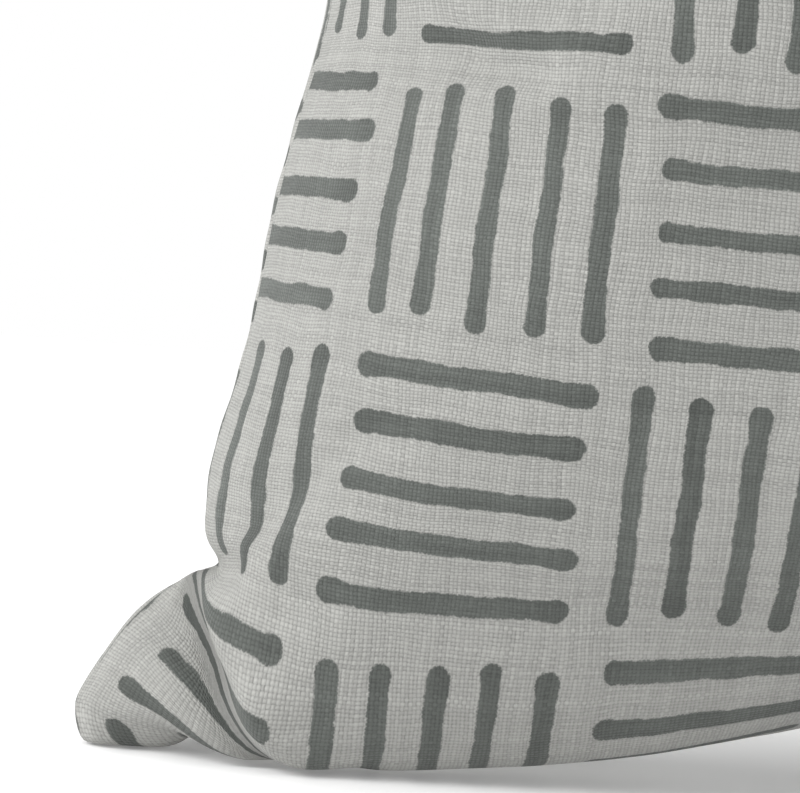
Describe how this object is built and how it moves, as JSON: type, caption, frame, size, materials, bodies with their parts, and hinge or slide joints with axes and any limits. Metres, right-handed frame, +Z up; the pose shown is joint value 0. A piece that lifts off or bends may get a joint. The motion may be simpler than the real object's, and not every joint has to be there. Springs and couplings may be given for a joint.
{
  "type": "throw pillow",
  "caption": "Plump square throw pillow with a knife-edge cover, a concealed zip along its lower seam and a separate filled insert.",
  "frame": {"origin": "centre of the bounding box on the ground plane", "axes": "+Z up from the zipped edge to the opposite edge, +X to the right across the width, front face toward -Y"},
  "size_m": [0.483, 0.226, 0.466],
  "materials": {
    "cover_fabric": "coarse plain-weave linen and cotton canvas",
    "thread": "spun polyester thread",
    "zip_tape": "woven polyester tape",
    "zip_coil": "nylon monofilament coil",
    "zip_stop": "plated",
    "zip_slider": "dark painted die casting",
    "insert_casing": "plain white cotton cambric",
    "insert_fill": "loose fibre fill"
  },
  "bodies": {
    "pillow": {"cover_front_panel": "cover_fabric", "cover_back_panel": "cover_fabric", "seam_thread_left": "thread", "seam_thread_right": "thread", "seam_thread_top": "thread", "seam_thread_bottom_left": "thread", "seam_thread_bottom_right": "thread", "zipper_tape_front": "zip_tape", "zipper_tape_back": "zip_tape", "zipper_coil_front": "zip_coil", "zipper_coil_back": "zip_coil", "zipper_stitch_front": "thread", "zipper_stitch_back": "thread", "zipper_top_stop_front": "zip_stop", "zipper_top_stop_back": "zip_stop", "zipper_bottom_stop": "zip_stop", "insert_casing_front": "insert_casing", "insert_casing_back": "insert_casing", "insert_fill": "insert_fill"},
    "slider": {"zipper_slider": "zip_slider"},
    "pull": {"zipper_pull_tab": "zip_slider"}
  },
  "joints": [
    {"name": "zip_slide", "type": "slide", "parent": "pillow", "child": "slider", "axis": [1, 0, 0], "range_m": [0, 0.35]},
    {"name": "pull_hinge", "type": "hinge", "parent": "slider", "child": "pull", "pos_m": [-0.176, 0, 0.0193], "axis": [0, 1, 0], "range_deg": [-60, 60]}
  ]
}
